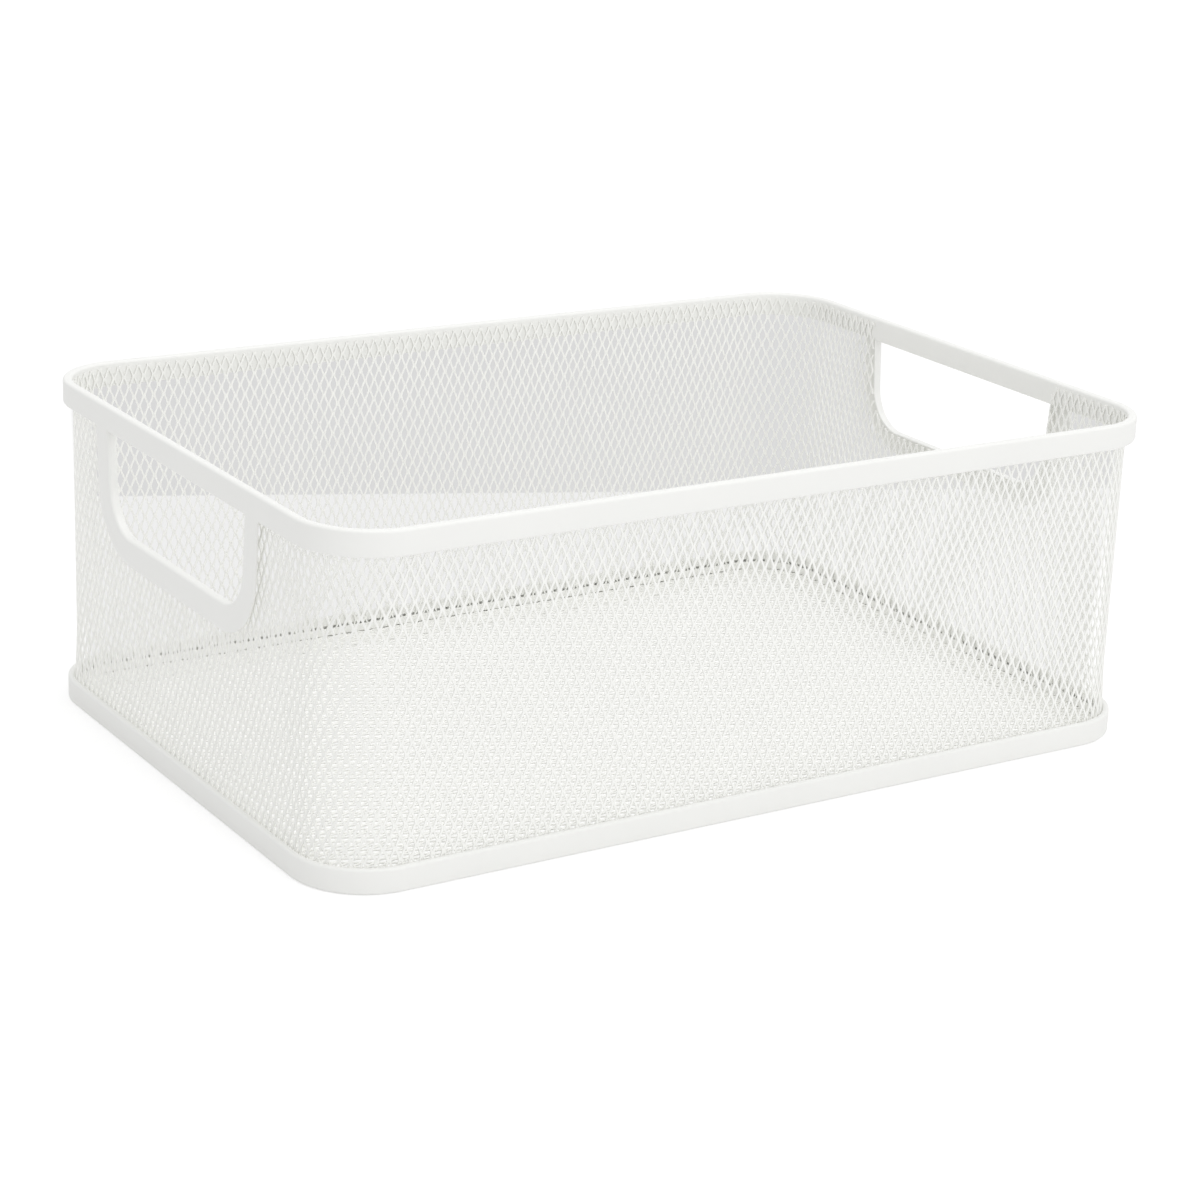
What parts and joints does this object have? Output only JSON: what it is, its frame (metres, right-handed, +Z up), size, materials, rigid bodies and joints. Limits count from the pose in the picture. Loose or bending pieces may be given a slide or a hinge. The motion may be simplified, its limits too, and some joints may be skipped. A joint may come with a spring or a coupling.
{
  "type": "storage basket",
  "caption": "Rectangular storage basket of expanded metal mesh, open at the top, with folded rims and a framed grip opening in each end.",
  "frame": {"origin": "middle of the footprint, on the surface that the basket stands on", "axes": "+X along the basket's length, -Y towards the front long side, +Z up"},
  "size_m": [0.34, 0.231, 0.1225],
  "materials": {
    "powder_coat": "white satin powder coat, smooth",
    "mesh_powder_coat": "white satin powder coat on expanded metal"
  },
  "bodies": {
    "root": {"top_rim": "powder_coat", "base_rim": "powder_coat", "left_handle_frame": "powder_coat", "right_handle_frame": "powder_coat", "front_wall_mesh": "mesh_powder_coat", "back_wall_mesh": "mesh_powder_coat", "left_end_mesh": "mesh_powder_coat", "right_end_mesh": "mesh_powder_coat", "front_left_corner_mesh": "mesh_powder_coat", "front_right_corner_mesh": "mesh_powder_coat", "back_left_corner_mesh": "mesh_powder_coat", "back_right_corner_mesh": "mesh_powder_coat", "floor_mesh": "mesh_powder_coat"}
  },
  "joints": []
}
